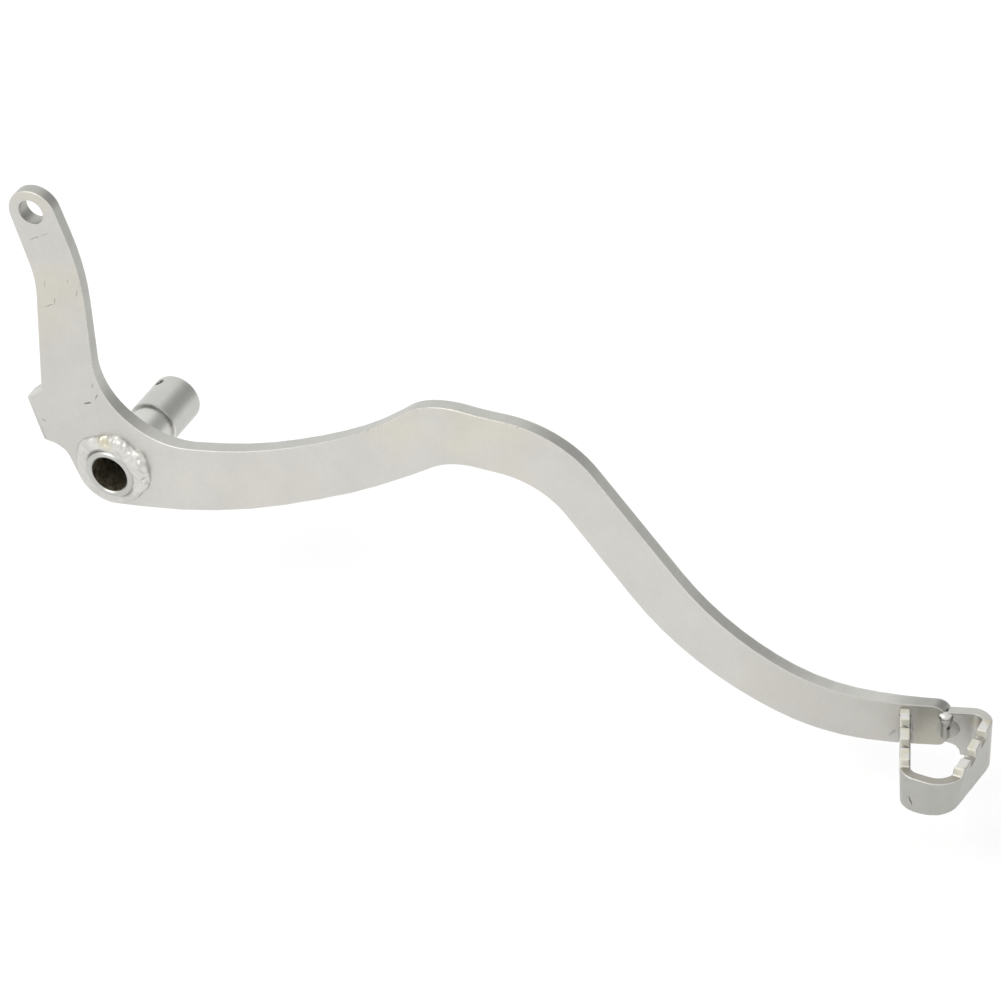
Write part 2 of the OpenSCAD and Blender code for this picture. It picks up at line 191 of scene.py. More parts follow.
class Wire:
    def __init__(self, finish, socket):
        self.finish, self.socket = finish, socket

    def maths(self, operation, a, b):
        return self.finish.add("ShaderNodeMath", {"operation": operation}, {0: a, 1: b})

    def __add__(self, other):
        return self.maths("ADD", self, other)

    def __sub__(self, other):
        return self.maths("SUBTRACT", self, other)

    def __rsub__(self, other):
        return self.maths("SUBTRACT", other, self)

    def __mul__(self, other):
        return self.maths("MULTIPLY", self, other)

    def __truediv__(self, other):
        return self.maths("DIVIDE", self, other)

    def most(self, other):
        return self.maths("MAXIMUM", self, other)

    __radd__ = __add__
    __rmul__ = __mul__


class Finish:
    def __init__(self, holder):
        holder.use_nodes = True
        self.tree = holder.node_tree
        self.tree.nodes.clear()

    def add(self, kind, settings=None, inputs=None, output=0):
        node = self.tree.nodes.new(kind)
        for setting, value in (settings or {}).items():
            setattr(node, setting, value)
        for name, value in (inputs or {}).items():
            socket = node.inputs[name]
            if isinstance(value, Wire):
                self.tree.links.new(value.socket, socket)
            else:
                socket.default_value = value
        return Wire(self, node.outputs[output]) if len(node.outputs) else None

    def place(self):
        return self.add("ShaderNodeTexCoord", output="Object")

    def facing(self):
        return self.add("ShaderNodeTexCoord", output="Normal")

    def mapped(self, at, location=(0, 0, 0), turn=(0, 0, 0), size=(1, 1, 1)):
        # coordinates measured from a place, turned with it and counted in its size
        return self.add("ShaderNodeMapping", {"vector_type": "TEXTURE"}, {
            "Vector": at,
            "Location": [v * mm for v in location],
            "Rotation": [math.radians(v) for v in turn],
            "Scale": [v * mm for v in size],
        })

    def cloud(self, at, size, detail, rough=0.5, stretch=(1, 1, 1), kind="FBM"):
        # noise from 0 to 1 with blobs of about that size
        return self.add("ShaderNodeTexNoise", {"noise_type": kind}, {
            "Vector": self.mapped(at, size=[size * v for v in stretch]),
            "Scale": 1.0, "Detail": detail, "Roughness": rough,
        })

    def ramp(self, value, low, high):
        # 0 below low, 1 above high, eased between
        return self.add("ShaderNodeMapRange", {"interpolation_type": "SMOOTHSTEP"}, {
            "Value": value, "From Min": low, "From Max": high,
        })

    def fade(self, value, low, high):
        return 1 - self.ramp(value, low, high)

    def band(self, value, low, full, ending, gone):
        # comes in from low to full and goes out from ending to gone
        return self.ramp(value, low, full) * self.fade(value, ending, gone)

    def length(self, vector):
        return self.add("ShaderNodeVectorMath", {"operation": "LENGTH"}, {0: vector}, output="Value")

    def split(self, vector, axis):
        return self.add("ShaderNodeSeparateXYZ", inputs={0: vector}, output=axis)

    def spot(self, at, location, size, turn, soft):
        # 1 inside an ellipsoid, fading out to its skin; turn is about the Y axis
        away = self.length(self.mapped(at, location, (0, turn, 0), size))
        return self.fade(away, 1 - soft, 1.0)

    def fromAxis(self, at):
        # distance in mm from the axis of the tube, with Y stretched until it doesn't count
        return self.length(self.mapped(at, size=(1, 1e6, 1)))

    def wobble(self, at, size, reach):
        # coordinates shaken by up to half of reach
        shake = self.add("ShaderNodeTexNoise", inputs={
            "Vector": self.mapped(at, size=(size,) * 3), "Scale": 1.0, "Detail": 2.0,
        }, output="Color")
        moved = self.add("ShaderNodeVectorMath", {"operation": "MULTIPLY_ADD"}, {
            0: shake, 1: [reach * mm] * 3, 2: at,
        })
        return self.add("ShaderNodeVectorMath", {"operation": "SUBTRACT"}, {
            0: moved, 1: [reach * mm / 2] * 3,
        })

    def mix(self, factor, a, b):
        return self.add("ShaderNodeMix", {"data_type": "RGBA"}, {0: factor, 6: a, 7: b}, output=2)

    def times(self, colour, tone):
        return self.add("ShaderNodeVectorMath", {"operation": "SCALE"}, {0: colour, "Scale": tone})

    def bump(self, height, strength):
        return self.add("ShaderNodeBump", inputs={
            "Height": height, "Distance": mm, "Strength": strength,
        })


def highest(wires):
    top = wires[0]
    for wire in wires[1:]:
        top = top.most(wire)
    return top


def shade(red, green=None, blue=None):
    green, blue = (red, red) if green is None else (green, blue)
    return (red, green, blue, 1.0)


def tinted(colour, tint):
    return shade(*[c * t for c, t in zip(colour, tint)])


def finishSurface(finish, base, roughness, normal, metallic=1.0):
    surface = finish.add("ShaderNodeBsdfPrincipled", inputs={
        "Base Color": base, "Roughness": roughness, "Metallic": metallic, "Normal": normal,
    })
    finish.add("ShaderNodeOutputMaterial", inputs={"Surface": surface})


def dress(piece, material, slotName, *nodes):
    piece.data.materials.clear()
    piece.data.materials.append(material)
    for face in piece.data.polygons:
        face.material_index = 0
    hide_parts(*nodes)
    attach(piece, "root")


# lever plate: both plate nodes in one piece, with smooth bends and ground edges

plateMake = {
    "seamX": 30,              # where the two plate nodes meet
    "seamMerge": 0.005,       # vertices on the seam that are closer are merged
    "seamFacing": 0.99, "seamNear": 0.01,    # how the seam's own faces are told apart
    "bends": [                # x, y of the corner of the middle line, radius, heading before and after
        (71, 0, 124, 0, -12),
        (117, -9.777, 78, -12, 10),
        (230, 10.148, 125, 10, 21),
    ],
    "bendBand": 5,            # how far from the middle line a bend reaches
    "facetDegrees": 4,        # most that one CAD facet turns
    "strip": 2.5,             # width of the strips that carry the bends
    "stripShifts": (0, 0.3, -0.3, 0.6, -0.6, 0.9, -0.9),
    "stripClear": 0.25,       # distance from a corner that is far enough
    "shortest": 0.08,         # shorter edges are merged away before the edges are rounded
    # the grinding of the lug runs out toward its lower corner
    "lugRear": -23.6, "lugGround": (-2, -1), "lugFade": (4.15, 5.3), "lugFace": -2.48,
    # roundings
    "leastTurn": 25,          # edges that turn less stay as they are
    "square": 0.8,            # share of the normal that makes a face the plate's outer or inner one
    "hole": (-24.5, 87.8), "byHole": 5, "holeEdge": 0.15,
    "byTube": 9,              # no rounding nearer to the pivot than this
    "lugFront": -17.5, "lugHeights": (-3, 27),
    "outerEdge": 0.4,         # toward the viewer
    "backEdge": 1.2,          # far edges that look to the rear
    "overEye": (-0.8, 0.4),   # forward share of an edge's normal, for the rear edges and the front ones
    "armEdge": 1.7,           # far edges of the short arm
    "runEdge": 0.5,           # of the low run
    "humpEdge": 1.3,
    "endEdge": 1.5,
    "elbow": (12, 40), "humpStart": (100, 118), "endStart": (250, 262),
    "segments": 4,
}


def smoothBends(piece):
    for x, y, radius, before, after in plateMake["bends"]:
        turn = math.radians(after - before)
        side = math.copysign(1, turn)
        reach = radius * math.tan(abs(turn) / 2)
        ahead = math.radians(before)
        start = Vector((x - reach * math.cos(ahead), y - reach * math.sin(ahead)))
        toStart = Vector((math.sin(ahead), -math.cos(ahead))) * side
        centre = start - toStart * radius
        # a little less, so that a whole number of facets isn't rounded up
        facets = math.ceil(math.degrees(abs(turn)) / plateMake["facetDegrees"] - 0.01)
        facet = abs(turn) / facets
        for vertex in piece.data.vertices:
            arm = Vector(vertex.co[:2]) / mm - centre
            angle = side * math.atan2(toStart.x * arm.y - toStart.y * arm.x, toStart.dot(arm))
            if 0 < angle < abs(turn) and abs(arm.length - radius) < plateMake["bendBand"]:
                off = angle % facet - facet / 2
                arm = arm * math.cos(off) / math.cos(facet / 2)
                vertex.co.x, vertex.co.y = (centre + arm) * mm


def cutStrips(piece):
    # cross cuts through the bends, each kept clear of the outline's own corners
    corners = [vertex.co.x / mm for vertex in piece.data.vertices]
    strip, enough = plateMake["strip"], plateMake["stripClear"]
    places = []
    for x, y, radius, before, after in plateMake["bends"]:
        reach = radius * math.tan(math.radians(abs(after - before)) / 2) + strip
        for step in range(int(2 * reach / strip) + 1):
            at = x - reach + step * strip
            tries = [at + shift for shift in plateMake["stripShifts"]]
            places.append(max(tries, key=lambda t: min(enough, min(abs(t - c) for c in corners))))
    editAll(piece)
    for at in places:
        bpy.ops.mesh.select_all(action="SELECT")
        bpy.ops.mesh.bisect(plane_co=(at * mm, 0, 0), plane_no=(1, 0, 0), threshold=1e-7)
    pickPiece(piece)


def fadeLugGrinding(piece):
    low, high = plateMake["lugFade"]
    deep, shallow = plateMake["lugGround"]
    for vertex in piece.data.vertices:
        at = vertex.co / mm
        if at.x < plateMake["lugRear"] and deep < at.y < shallow and at.z < high:
            vertex.co.y = blendValue([(low, plateMake["lugFace"]), (high, at.y)], at.z) * mm


def plateRounding(middle, a, b):
    if a.angle(b) < math.radians(plateMake["leastTurn"]):
        return 0
    holeX, holeZ = plateMake["hole"]
    if math.hypot(middle.x - holeX, middle.z - holeZ) < plateMake["byHole"]:
        return plateMake["holeEdge"]
    if math.hypot(middle.x, middle.z) < plateMake["byTube"]:
        return 0
    low, high = plateMake["lugHeights"]
    if middle.x < plateMake["lugFront"] and low < middle.z < high:
        return 0                     # the ground bevels of the lug stay crisp
    if min(a.y, b.y) < -plateMake["square"]:
        return plateMake["outerEdge"]
    if max(a.y, b.y) <= plateMake["square"]:
        return 0
    if middle.x < plateMake["seamX"]:
        low, high = plateMake["elbow"]
        front = blendValue([(low, plateMake["runEdge"]), (high, plateMake["armEdge"])], middle.z)
        cut = a if abs(a.y) < abs(b.y) else b
        rear, ahead = plateMake["overEye"]
        return blendValue([(rear, plateMake["backEdge"]), (ahead, front)], cut.x)
    humpStart, humpFull = plateMake["humpStart"]
    endStart, endFull = plateMake["endStart"]
    return blendValue([
        (humpStart, plateMake["runEdge"]), (humpFull, plateMake["humpEdge"]),
        (endStart, plateMake["humpEdge"]), (endFull, plateMake["endEdge"]),
    ], middle.x)


def onSeam(middle, normal):
    near = abs(middle.x - plateMake["seamX"]) < plateMake["seamNear"]
    return near and abs(normal.x) > plateMake["seamFacing"]


def makePlate():
    piece = copyOfNodes("lever_plate", "rod_arm", "lever_arm")
    editFaces(piece, onSeam)
    bpy.ops.mesh.delete(type="ONLY_FACE")
    bpy.ops.mesh.select_all(action="SELECT")
    bpy.ops.mesh.remove_doubles(threshold=plateMake["seamMerge"] * mm)
    mergeFlats(piece, shared["flat"])
    cutStrips(piece)
    editAll(piece)
    bpy.ops.mesh.remove_doubles(threshold=plateMake["shortest"] * mm)
    pickPiece(piece)
    fadeLugGrinding(piece)
    smoothBends(piece)
    roundEdges(piece, plateRounding, plateMake["armEdge"], plateMake["segments"])
    evenShading(piece)
    return piece


plate = makePlate()
print("plate", len(plate.data.polygons), "faces")


# pivot tube

tubeMake = {"edge": 0.22, "segments": 2, "leastTurn": 35}


def makeTube():
    piece = copyOfNodes("pivot_sleeve", "pivot_tube")
    mergeFlats(piece, shared["flat"])
    useModifier(
        piece, "BEVEL", width=tubeMake["edge"] * mm, segments=tubeMake["segments"],
        limit_method="ANGLE", angle_limit=math.radians(tubeMake["leastTurn"]),
    )
    evenShading(piece)
    return piece


tube = makeTube()
print("tube", len(tube.data.polygons), "faces")


# weld beads around the tube

beadMake = {
    "tubeR": 8,
    "sink": 0.35,          # how far the bead reaches into the tube and the plate
    "around": 216,
    "across": 40,
    "ringR": 10, "ringTube": 2,          # the torus that the bead is shaped from
    "skin": 0.8,           # share of the half turn over the torus that becomes the bead's skin
    "footEase": 0.08,      # the foot is less deep this near to its ends
    "belly": 1.15,         # above 1 the skin is lower toward its toe
    "swell": (0.12, 0.6),  # the lumps' half wave from toe to tube: where it starts, and its power
    # noise per mm, broad and fine, and how far the lumps stand out
    "blobs": {
        "broad": 0.42, "fine": 0.9, "shift": (9, 4, 2), "fineShare": 0.5, "reach": 2.3, "settle": 0.5,
    },
    "ripples": {"count": 21, "lean": 3.5, "stray": 2.2, "strayGrain": 0.3, "reach": 0.16},
    "smooth": 60,
    "outer": {
        "face": -2.5, "side": -1, "seed": 3.1,
        # angle from forward, counting upward, then toe radius, height on the tube and lumpiness
        "toes": [
            (-180, 12.6, 2.0, 0.12), (-138, 12.9, 2.0, 0.15), (-97, 12.7, 1.9, 0.18),
            (-66, 11.3, 1.9, 0.20), (-31, 11.4, 2.0, 0.30), (-8, 12.5, 2.2, 0.48),
            (3, 12.9, 2.3, 0.55), (25, 13.6, 2.5, 0.60), (43, 14.6, 2.6, 0.60),
            (54, 13.0, 2.6, 0.60), (79, 13.8, 2.5, 0.55), (100, 12.9, 2.3, 0.42),
            (118, 12.4, 2.0, 0.25), (147, 13.3, 1.6, 0.15), (180, 12.6, 2.0, 0.12),
        ],
    },
    "inner": {
        "face": 2.5, "side": 1, "seed": 11.7,
        "toes": [
            (-180, 12.3, 2.2, 0.3), (-60, 12.0, 2.3, 0.3), (60, 12.5, 2.3, 0.3), (180, 12.3, 2.2, 0.3),
        ],
    },
}


def beadSkin(make, degrees, s):
    # radius and height of the bead's skin, s runs from the toe to the tube
    toe, height, lumps = (
        blendValue([(stop[0], stop[k]) for stop in make["toes"]], degrees) for k in (1, 2, 3))
    tubeR, blobs, ripples = beadMake["tubeR"], beadMake["blobs"], beadMake["ripples"]
    angle = math.radians(degrees)
    radius = tubeR + (toe - tubeR) * math.cos(s * math.pi / 2)
    height = height * math.sin(s * math.pi / 2) ** beadMake["belly"]
    at = Vector((radius * math.cos(angle), radius * math.sin(angle), make["seed"] + s))
    broad = abs(noise.noise(at * blobs["broad"]))
    fine = abs(noise.noise(at * blobs["fine"] + Vector(blobs["shift"])))
    stray = ripples["stray"] * noise.noise(at * ripples["strayGrain"])
    ripple = math.sin(angle * ripples["count"] + ripples["lean"] * s + stray)
    least, growth = beadMake["swell"]
    swell = math.sin(math.pi * min(1, least + (1 - least) * s)) ** growth
    lump = blobs["reach"] * (broad + blobs["fineShare"] * fine) - blobs["settle"]
    return radius, height + lumps * swell * (lump + ripples["reach"] * ripple)


def makeBead(name, make):
    pickNothing()
    bpy.ops.mesh.primitive_torus_add(
        major_segments=beadMake["around"], minor_segments=beadMake["across"],
        major_radius=beadMake["ringR"] * mm, minor_radius=beadMake["ringTube"] * mm,
        rotation=(math.pi / 2, 0, 0),
    )
    piece = bpy.context.object
    piece.name = piece.data.name = name
    bpy.ops.object.transform_apply(location=False, rotation=True, scale=False)
    tubeR, sink, skin, ease = (beadMake[key] for key in ("tubeR", "sink", "skin", "footEase"))
    for vertex in piece.data.vertices:
        x, y, z = vertex.co / mm
        around = math.degrees(math.atan2(z, x))
        # share of the half turn from the outside to the tube, above 0 on the skin's side
        share = math.atan2(-y, math.hypot(x, z) - beadMake["ringR"]) / math.pi
        if share >= 0:
            radius, height = beadSkin(make, around, min(1, share / skin))
            if share > skin:
                radius = tubeR - sink * (share - skin) / (1 - skin)
        else:
            toe, _ = beadSkin(make, around, 0)
            t = 1 + share                        # 0 at the tube, 1 at the toe
            radius = tubeR - sink + (toe - tubeR + sink) * t
            height = -sink if ease < t < 1 - ease else -sink / 2
        angle = math.radians(around)
        out = make["face"] + make["side"] * height
        vertex.co = Vector((radius * math.cos(angle), out, radius * math.sin(angle))) * mm
    editAll(piece)
    bpy.ops.mesh.normals_make_consistent(inside=False)
    smoothFaces(piece, beadMake["smooth"])
    return piece


outerBead = makeBead("outer_weld_bead", beadMake["outer"])
innerBead = makeBead("inner_weld_bead", beadMake["inner"])
print("beads", len(outerBead.data.polygons), "faces each")


# tread strip

treadMake = {"grain": 0.3, "wear": 3}


def makeTread():
    piece = copyOfNodes("tread_strip", "tread_loop")
    meltPiece(piece, treadMake["grain"], treadMake["wear"])
    return piece


tread = makeTread()
print("tread", len(tread.data.polygons), "faces")


# welds at the tread

endMake = {
    "grain": 0.25, "wear": 6,
    "seam": (265.5, 21.09, 0),        # a point of the plate's outer face at its end
    "facing": (0.358, -0.934, 0),
    "flush": 0.05,                    # how far the CAD's bead may stand out of the seam
    "blobFloor": -20.2,               # above this height the CAD's bead stays as it is
    "fillet": {"at": (265.8, 22.5, -23.9), "half": (5.3, 1.6, 5.2), "turn": 21},
    "blob": {"at": (265.3, 21.1, -19.1), "half": (2.3, 1.4, 1.2), "turn": 21},
    "segments": 48,
    "lumps": {"seed": 4.2, "size": 1.9, "amount": 0.07},
}


def lumpy(piece, seed, size, amount):
    for vertex in piece.data.vertices:
        at = vertex.co / mm / size + Vector((seed, 0, 0))
        vertex.co += vertex.normal * amount * mm * noise.noise(at)


def addMound(make):
    pickNothing()
    bpy.ops.mesh.primitive_uv_sphere_add(
        segments=endMake["segments"], ring_count=endMake["segments"] // 2, radius=1,
        location=[v * mm for v in make["at"]], scale=[v * mm for v in make["half"]],
        rotation=(0, 0, math.radians(make["turn"])),
    )
    return bpy.context.object


def makeEndWeld():
    piece = copyOfNodes("tread_end_bead", "tread_end_weld")
    facing, seam = Vector(endMake["facing"]), Vector(endMake["seam"])
    for vertex in piece.data.vertices:
        out = (vertex.co / mm - seam).dot(facing)
        if vertex.co.z < endMake["blobFloor"] * mm and out > endMake["flush"]:
            vertex.co -= facing * (out - endMake["flush"]) * mm
    joinPieces(piece, addMound(endMake["fillet"]), addMound(endMake["blob"]))
    bpy.ops.object.transform_apply()
    meltPiece(piece, endMake["grain"], endMake["wear"])
    lumpy(piece, **endMake["lumps"])
    return piece


legMake = {
    "shrink": 0.5,                    # the fillets against the CAD's
    "flat": 1, "grain": 0.2, "wear": 4,
    "lumps": {"seed": 8.4, "size": 1.6, "amount": 0.15},
}


def squareCorner(points):
    # the corner of a triangle whose two sides are nearest to square
    def offSquare(corner):
        ways = [(point.co - corner.co).normalized() for point in points if point != corner]
        return abs(sum(ways, Vector()).length - math.sqrt(2))
    return min(points, key=offSquare)


def makeLegWeld():
    piece = copyOfNodes("tread_leg_bead", "tread_leg_weld")
    mergeFlats(piece, legMake["flat"])
    mesh = piece.data
    for face in mesh.polygons:
        if len(face.vertices) == 3:
            points = [mesh.vertices[i] for i in face.vertices]
            root = squareCorner(points)
            for point in points:
                point.co = root.co.lerp(point.co, legMake["shrink"])
    meltPiece(piece, legMake["grain"], legMake["wear"])
    lumpy(piece, **legMake["lumps"])
    return piece


endWeld = makeEndWeld()
legWeld = makeLegWeld()
print("tread welds", len(endWeld.data.polygons), "and", len(legWeld.data.polygons), "faces")


# finishes: a range in the looks below has two numbers, over which something comes in or goes out,
# or four, over which it comes in and then goes out again; a wobble is its size and its reach

satinLook = {
    "floor": 0.955,
    "patch": {"detail": 4, "rough": 0.6}, "patchRange": (0.3, 0.7), "patchTone": 0.05,
    "mottle": {"size": 1.4, "detail": 3, "rough": 0.65}, "mottleTone": 0.09,
    "speck": {"size": 0.55, "detail": 2, "rough": 0.6}, "speckRange": (0.64, 0.74), "speckTone": 0.10,
    "grain": {"size": 0.5, "detail": 3, "rough": 0.6}, "grainHeight": 0.02,
    "dents": {"size": 5, "detail": 2}, "dentHeight": 0.10,
    "strokeReach": 1.2, "strokeSoft": 0.6,
}


def satin(finish, at, patchSize):
    # tone around 1 of plated steel: broad patches, fine mottling and specks
    look = satinLook
    patch = finish.ramp(finish.cloud(at, patchSize, **look["patch"]), *look["patchRange"])
    speck = finish.ramp(finish.cloud(at, **look["speck"]), *look["speckRange"])
    mottle = finish.cloud(at, **look["mottle"])
    tone = look["floor"] + look["patchTone"] * patch + look["mottleTone"] * mottle
    return tone - look["speckTone"] * speck


def satinBump(finish, at, strength):
    grain = satinLook["grainHeight"] * finish.cloud(at, **satinLook["grain"])
    dents = satinLook["dentHeight"] * finish.cloud(at, **satinLook["dents"])
    return finish.bump(grain + dents, strength)


def strokeMarks(finish, at, strokes):
    # the darkest of all the strokes at a place
    marks = []
    for x1, z1, x2, z2, width, depth, y in strokes:
        middle = ((x1 + x2) / 2, y, (z1 + z2) / 2)
        half = (math.hypot(x2 - x1, z2 - z1) / 2 + width, satinLook["strokeReach"], width)
        turn = -math.degrees(math.atan2(z2 - z1, x2 - x1))
        marks.append(depth * finish.spot(at, middle, half, turn, satinLook["strokeSoft"]))
    return highest(marks)


plateLook = {
    "base": (0.562, 0.553, 0.526), "roughness": 0.42, "bump": 0.7, "patch": 16,
    # share of a face's normal that looks across the plate
    "cut": (0.25, 0.5), "rim": (0.3, 0.6, 0.9, 0.985), "broad": (0.7, 0.9),
    # dark flecks worn into the short arm's rim
    "wornHeight": (24, 34, 66, 84), "wornAlong": (-20, -12),
    "flecks": {"size": 0.8, "detail": 2, "rough": 0.7}, "fleckRange": (0.56, 0.66),
    "draw": {"size": 1.1, "detail": 2, "rough": 0.6, "stretch": (1, 9, 1)}, "drawMiddle": 0.55,
    # places along the lever and heights of broad changes in tone
    "armCut": (28, 44), "armCutAlong": (-4, 10), "armFace": (0, 20),
    "rearCut": (145, 165), "endCut": (244, 256), "front": (200, 245), "paleCut": (205, 240, 248, 260),
    # painted shade on the plate behind the tread's leg: where it starts along the plate, and the heights
    # over which it deepens toward the top
    "paintedShadeBehindLeg": (256, 258.5), "paintedShadeTopBehindLeg": (-24, -17),
    "tones": {
        "rim": 0.09, "worn": 0.4, "draw": 0.12, "armCut": 0.12, "armFace": 0.05, "rearCut": 0.11,
        "endCut": 0.16, "front": 0.17, "paleCut": 0.24, "paintedShadeBehindLeg": 0.12, "paintedShadeTopBehindLeg": 0.16,
        "mark": 0.75,
    },
    # tints of the base, and how warm patches grow up the short arm
    "plain": (0.99, 0.99, 0.99), "warm": (1.01, 0.99, 0.93), "cutTint": (0.98, 0.99, 0.98),
    "paintedShadeTint": (1.0, 0.985, 0.86), "paintedShadeTintShare": 0.6,
    "warmPatch": {"size": 30, "detail": 2}, "warmRange": (0.4, 0.65),
    "warmHeight": (25, 60), "warmLeast": 0.35,
    "roughPatch": {"size": 7, "detail": 3}, "roughSwing": 0.10, "markRough": 0.12,
    # dark strokes: x, z of one end, x, z of the other, half width, depth of tone, y
    "strokes": [
        (-9.3, 22.3, -6.7, 23.1, 0.5, 0.8, -2.5), (-5.5, 24.5, -4.2, 27.7, 0.28, 0.6, -2.5),
        (-25.9, 77.3, -21.6, 80.1, 0.3, 0.4, -2.5), (-21.6, 80.1, -18.6, 82.0, 0.25, 0.3, -2.5),
        (-21.7, 54.2, -17.9, 56.4, 0.25, 0.5, -2.5), (-17.9, 56.4, -17.5, 58.6, 0.25, 0.55, -2.5),
        (-20.8, 64.4, -20.8, 61.6, 0.2, 0.45, -2.5), (-13.0, 67.2, -13.0, 65.6, 0.2, 0.45, -2.5),
        (-9.7, 64.2, -10.2, 61.4, 0.3, 0.4, -2.5), (-6.1, 30.8, -6.1, 28.9, 0.25, 0.5, -2.5),
        (40.2, 20.7, 41.2, 21.1, 0.4, 0.55, -2.5), (42.3, 21.5, 43.1, 21.8, 0.4, 0.55, -2.5),
        (-24.2, 11.4, -23.0, 11.1, 0.35, 0.5, -2.5), (-16.6, 1.6, -15.6, 1.4, 0.3, 0.25, -2.5),
        (250.2, -27.6, 251.8, -25.4, 0.7, 0.3, 15.5),
    ],
    "strokeWobble": (1.5, 0.9),
}


def plateFinish():
    material = bpy.data.materials.new("plate_satin_steel")
    finish = Finish(material)
    look, tones = plateLook, plateLook["tones"]
    at = finish.place()
    height, along = finish.split(at, "Z") / mm, finish.split(at, "X") / mm
    outward = 0 - finish.split(finish.facing(), "Y")
    facing = outward.most(0 - outward)
    cut = finish.fade(facing, *look["cut"])
    rim = finish.band(outward, *look["rim"])
    worn = rim * finish.band(height, *look["wornHeight"]) * finish.ramp(along, *look["wornAlong"])
    flecks = finish.ramp(finish.cloud(at, **look["flecks"]), *look["fleckRange"])
    draw = finish.cloud(at, **look["draw"]) - look["drawMiddle"]
    marks = strokeMarks(finish, finish.wobble(at, *look["strokeWobble"]), look["strokes"])
    armCut = finish.ramp(height, *look["armCut"]) * finish.fade(along, *look["armCutAlong"])
    armFace = finish.fade(along, *look["armFace"]) * (1 - cut)
    # painted shade behind the tread's leg, on both faces, deeper toward the top and with a warm brown
    # tint
    paintedShadeBehindLeg = finish.ramp(along, *look["paintedShadeBehindLeg"]) * finish.ramp(facing, *look["broad"])
    legShade = tones["paintedShadeBehindLeg"] + tones["paintedShadeTopBehindLeg"] * finish.ramp(height, *look["paintedShadeTopBehindLeg"])
    cutTone = tones["draw"] * draw - tones["armCut"] * armCut
    cutTone = cutTone - tones["rearCut"] * finish.fade(along, *look["rearCut"])
    cutTone = cutTone - tones["endCut"] * finish.ramp(along, *look["endCut"])
    cutTone = cutTone + tones["paleCut"] * finish.band(along, *look["paleCut"])
    # the outward rim is paler: polished edge wear, and a painted highlight
    tone = satin(finish, at, look["patch"]) + tones["rim"] * rim - tones["worn"] * worn * flecks
    tone = tone + cut * cutTone - paintedShadeBehindLeg * legShade
    # painted shade: the plate darkens toward the tread end
    tone = tone - tones["front"] * finish.ramp(along, *look["front"]) - tones["armFace"] * armFace
    tone = tone * (1 - tones["mark"] * marks)
    rising = look["warmLeast"] + (1 - look["warmLeast"]) * finish.ramp(height, *look["warmHeight"])
    warm = finish.ramp(finish.cloud(at, **look["warmPatch"]), *look["warmRange"]) * rising
    colour = finish.mix(warm, tinted(look["base"], look["plain"]), tinted(look["base"], look["warm"]))
    colour = finish.mix(cut, colour, tinted(look["base"], look["cutTint"]))
    colour = finish.mix(look["paintedShadeTintShare"] * paintedShadeBehindLeg, colour, tinted(look["base"], look["paintedShadeTint"]))
    swing = finish.cloud(at, **look["roughPatch"]) - 0.5
    rough = look["roughness"] + look["roughSwing"] * swing + look["markRough"] * marks
    finishSurface(finish, finish.times(colour, tone), rough, satinBump(finish, at, look["bump"]))
    return material


tubeLook = {
    "base": (0.52, 0.52, 0.495), "roughness": 0.36, "bump": 0.5, "patch": 9,
    # the bore is painted dark: rust-brown oxide, and painted shade inside the tube
    "bore": (0.17, 0.15, 0.105), "boreR": (6.03, 6.12), "boreRough": 0.3,
    "rustAndShade": {"size": 1.6, "detail": 4, "rough": 0.7}, "rustAndShadeRange": (0.35, 0.7), "rustAndShadeTones": (0.55, 1.7),
    "rings": {"size": 0.5, "detail": 2, "stretch": (30, 1, 30)}, "ringTone": 0.08,
    # along the tube: its head, the waist and the step up to the sleeve, which has a painted shadow on its
    # upper side and a painted highlight on its lower side
    "head": (2, 4), "headTone": 0.10, "waist": (2, 4, 21.5, 22.2), "waistTone": 0.16,
    "step": (22.1, 22.4, 22.7, 23.1), "stepR": (6.9, 7.1), "upper": (1, 5),
    "stepPaintedShadow": 0.16, "stepPaintedHighlight": 0.35,
    "stain": {"location": (6.5, 13.5, 3), "size": (3.2, 3, 3.5), "turn": 0, "soft": 0.9},
    "stainColour": (0.62, 0.58, 0.46), "stainShare": 0.35, "stainWobble": (3, 2),
    "roughPatch": {"size": 4, "detail": 3}, "roughSwing": 0.08,
}


def tubeFinish():
    material = bpy.data.materials.new("tube_turned_steel")
    finish = Finish(material)
    look = tubeLook
    at = finish.place()
    radius = finish.fromAxis(at)
    depth, height = finish.split(at, "Y") / mm, finish.split(at, "Z") / mm
    # the bore is painted dark: rust-brown oxide, and painted shade inside the tube
    inside = finish.fade(radius, *look["boreR"])
    rustAndShade = finish.ramp(finish.cloud(at, **look["rustAndShade"]), *look["rustAndShadeRange"])
    dark, pale = (shade(*[v * tone for v in look["bore"]]) for tone in look["rustAndShadeTones"])
    bore = finish.mix(rustAndShade, dark, pale)
    rings = finish.cloud(at, **look["rings"]) - 0.5
    step = finish.band(depth, *look["step"]) * finish.ramp(radius, *look["stepR"])
    upper = finish.ramp(height, *look["upper"])
    tone = satin(finish, at, look["patch"]) + look["ringTone"] * rings
    # painted shadow on the step's upper side, painted highlight on its lower side
    tone = tone - look["stepPaintedShadow"] * step * upper + look["stepPaintedHighlight"] * step * (1 - upper)
    tone = tone + look["waistTone"] * finish.band(depth, *look["waist"])
    tone = tone - look["headTone"] * finish.fade(depth, *look["head"])
    stain = finish.spot(finish.wobble(at, *look["stainWobble"]), **look["stain"])
    colour = finish.mix(look["stainShare"] * stain, shade(*look["base"]), shade(*look["stainColour"]))
    colour = finish.mix(inside, finish.times(colour, tone), bore)
    swing = finish.cloud(at, **look["roughPatch"]) - 0.5
    rough = look["roughness"] + look["roughSwing"] * swing + look["boreRough"] * inside
    finishSurface(finish, colour, rough, satinBump(finish, at, look["bump"]))
    return material


